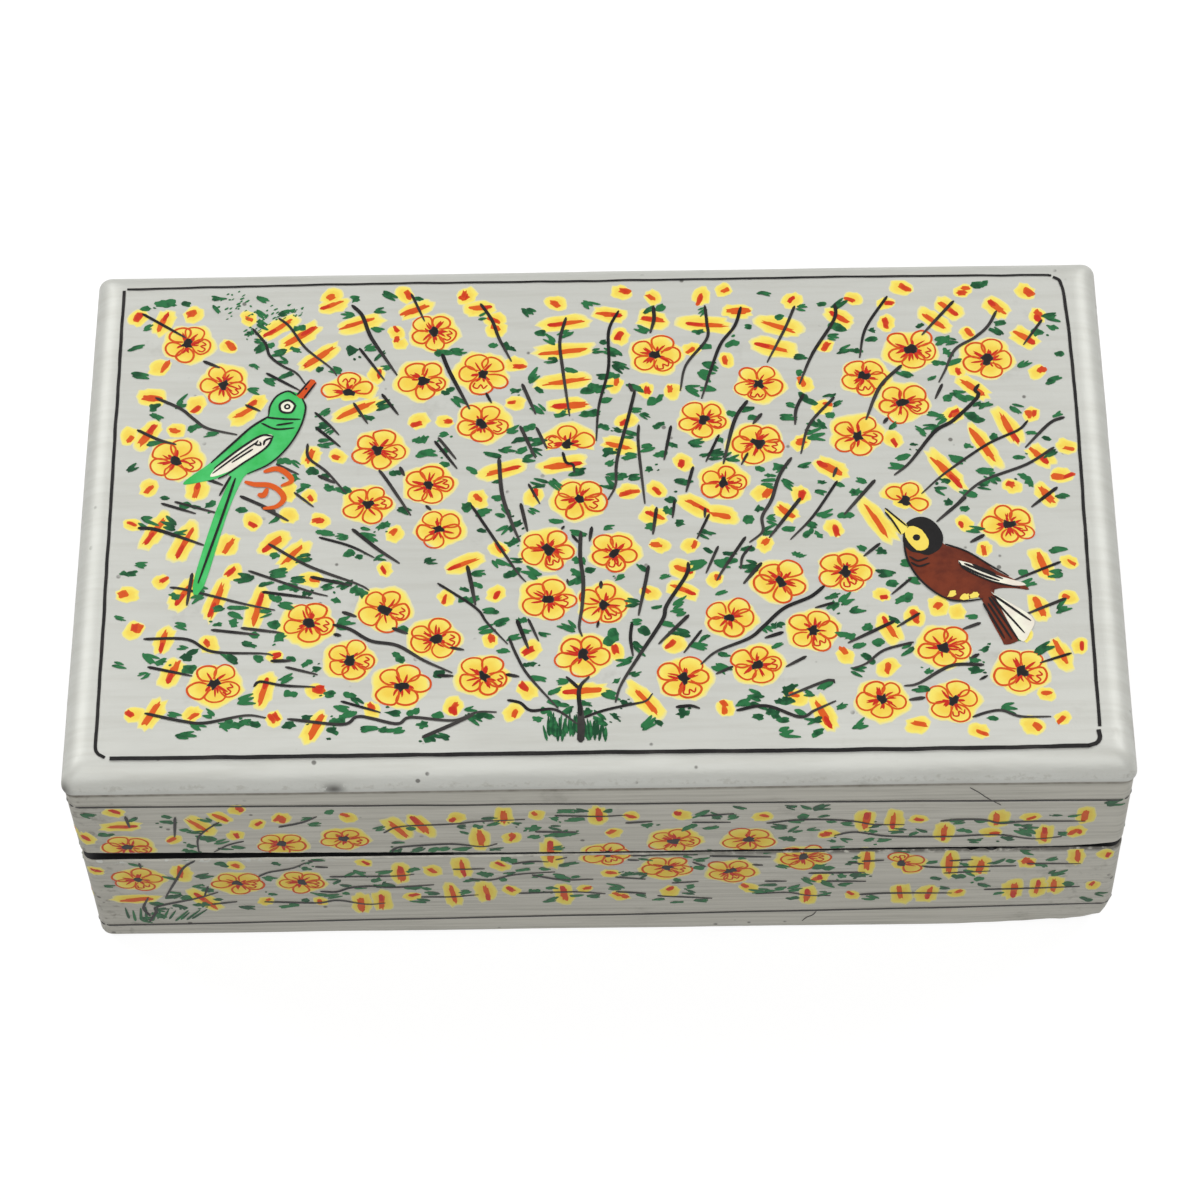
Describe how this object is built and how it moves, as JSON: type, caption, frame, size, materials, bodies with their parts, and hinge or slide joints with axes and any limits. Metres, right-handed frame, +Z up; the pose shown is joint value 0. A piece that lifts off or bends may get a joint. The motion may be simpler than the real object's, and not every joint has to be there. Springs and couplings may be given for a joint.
{
  "type": "papier mache box",
  "caption": "Rectangular papier mache box with a rounded lid that lifts off an inner collar, its silver-grey ground painted with flowers and birds.",
  "frame": {"origin": "middle of the underside", "axes": "+X to the right along the length, +Y to the back, +Z up"},
  "size_m": [0.178, 0.105, 0.057],
  "materials": {
    "silver_ground": "silver-grey ground, brushed on by hand, satin varnish",
    "black_inside": "black lacquer, satin",
    "yellow_paint": "brushed paint under varnish",
    "red_paint": "brushed paint under varnish",
    "leaf_paint": "brushed paint under varnish",
    "line_paint": "brushed paint under varnish",
    "bird_green_paint": "brushed paint under varnish",
    "bird_brown_paint": "brushed paint under varnish",
    "pale_paint": "brushed paint under varnish"
  },
  "bodies": {
    "tray": {"tray_bottom_panel": "silver_ground", "tray_front_wall": "silver_ground", "tray_back_wall": "silver_ground", "tray_left_wall": "silver_ground", "tray_right_wall": "silver_ground", "collar_front": "black_inside", "collar_back": "black_inside", "collar_left": "black_inside", "collar_right": "black_inside"},
    "lid": {"lid_top_panel": "silver_ground", "lid_front_wall": "silver_ground", "lid_back_wall": "silver_ground", "lid_left_wall": "silver_ground", "lid_right_wall": "silver_ground"}
  },
  "joints": [
    {"name": "lid_lift", "type": "slide", "parent": "tray", "child": "lid", "axis": [0, 0, 1], "range_m": [0, 0.08]}
  ]
}
